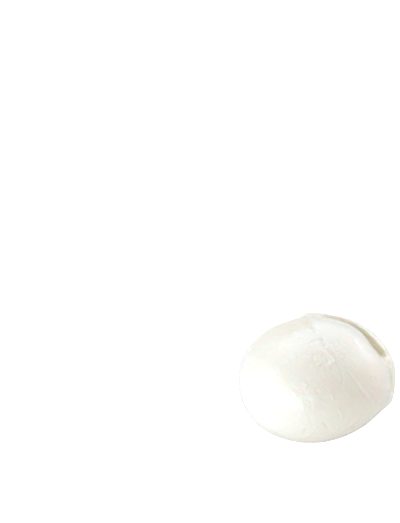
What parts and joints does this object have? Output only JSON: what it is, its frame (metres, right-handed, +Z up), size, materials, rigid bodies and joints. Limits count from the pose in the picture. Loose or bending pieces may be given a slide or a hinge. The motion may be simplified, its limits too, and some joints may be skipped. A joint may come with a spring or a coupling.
{
  "type": "mozzarella ball",
  "caption": "Whole ball of fresh mozzarella, squashed round, with a skin flap folded over its upper right side and a narrow crevice behind the lip.",
  "frame": {"origin": "centre of the ball's box in X and Y, on the surface that it lies on", "axes": "+X to the ball's right, across its width, where the folded flap stands; -Y to the front; +Z up, across its flattened height"},
  "size_m": [0.089, 0.0852, 0.0603],
  "materials": {
    "curd": "wet milky white curd with a soft sheen"
  },
  "bodies": {
    "root": {"mozzarella": "curd"}
  },
  "joints": []
}
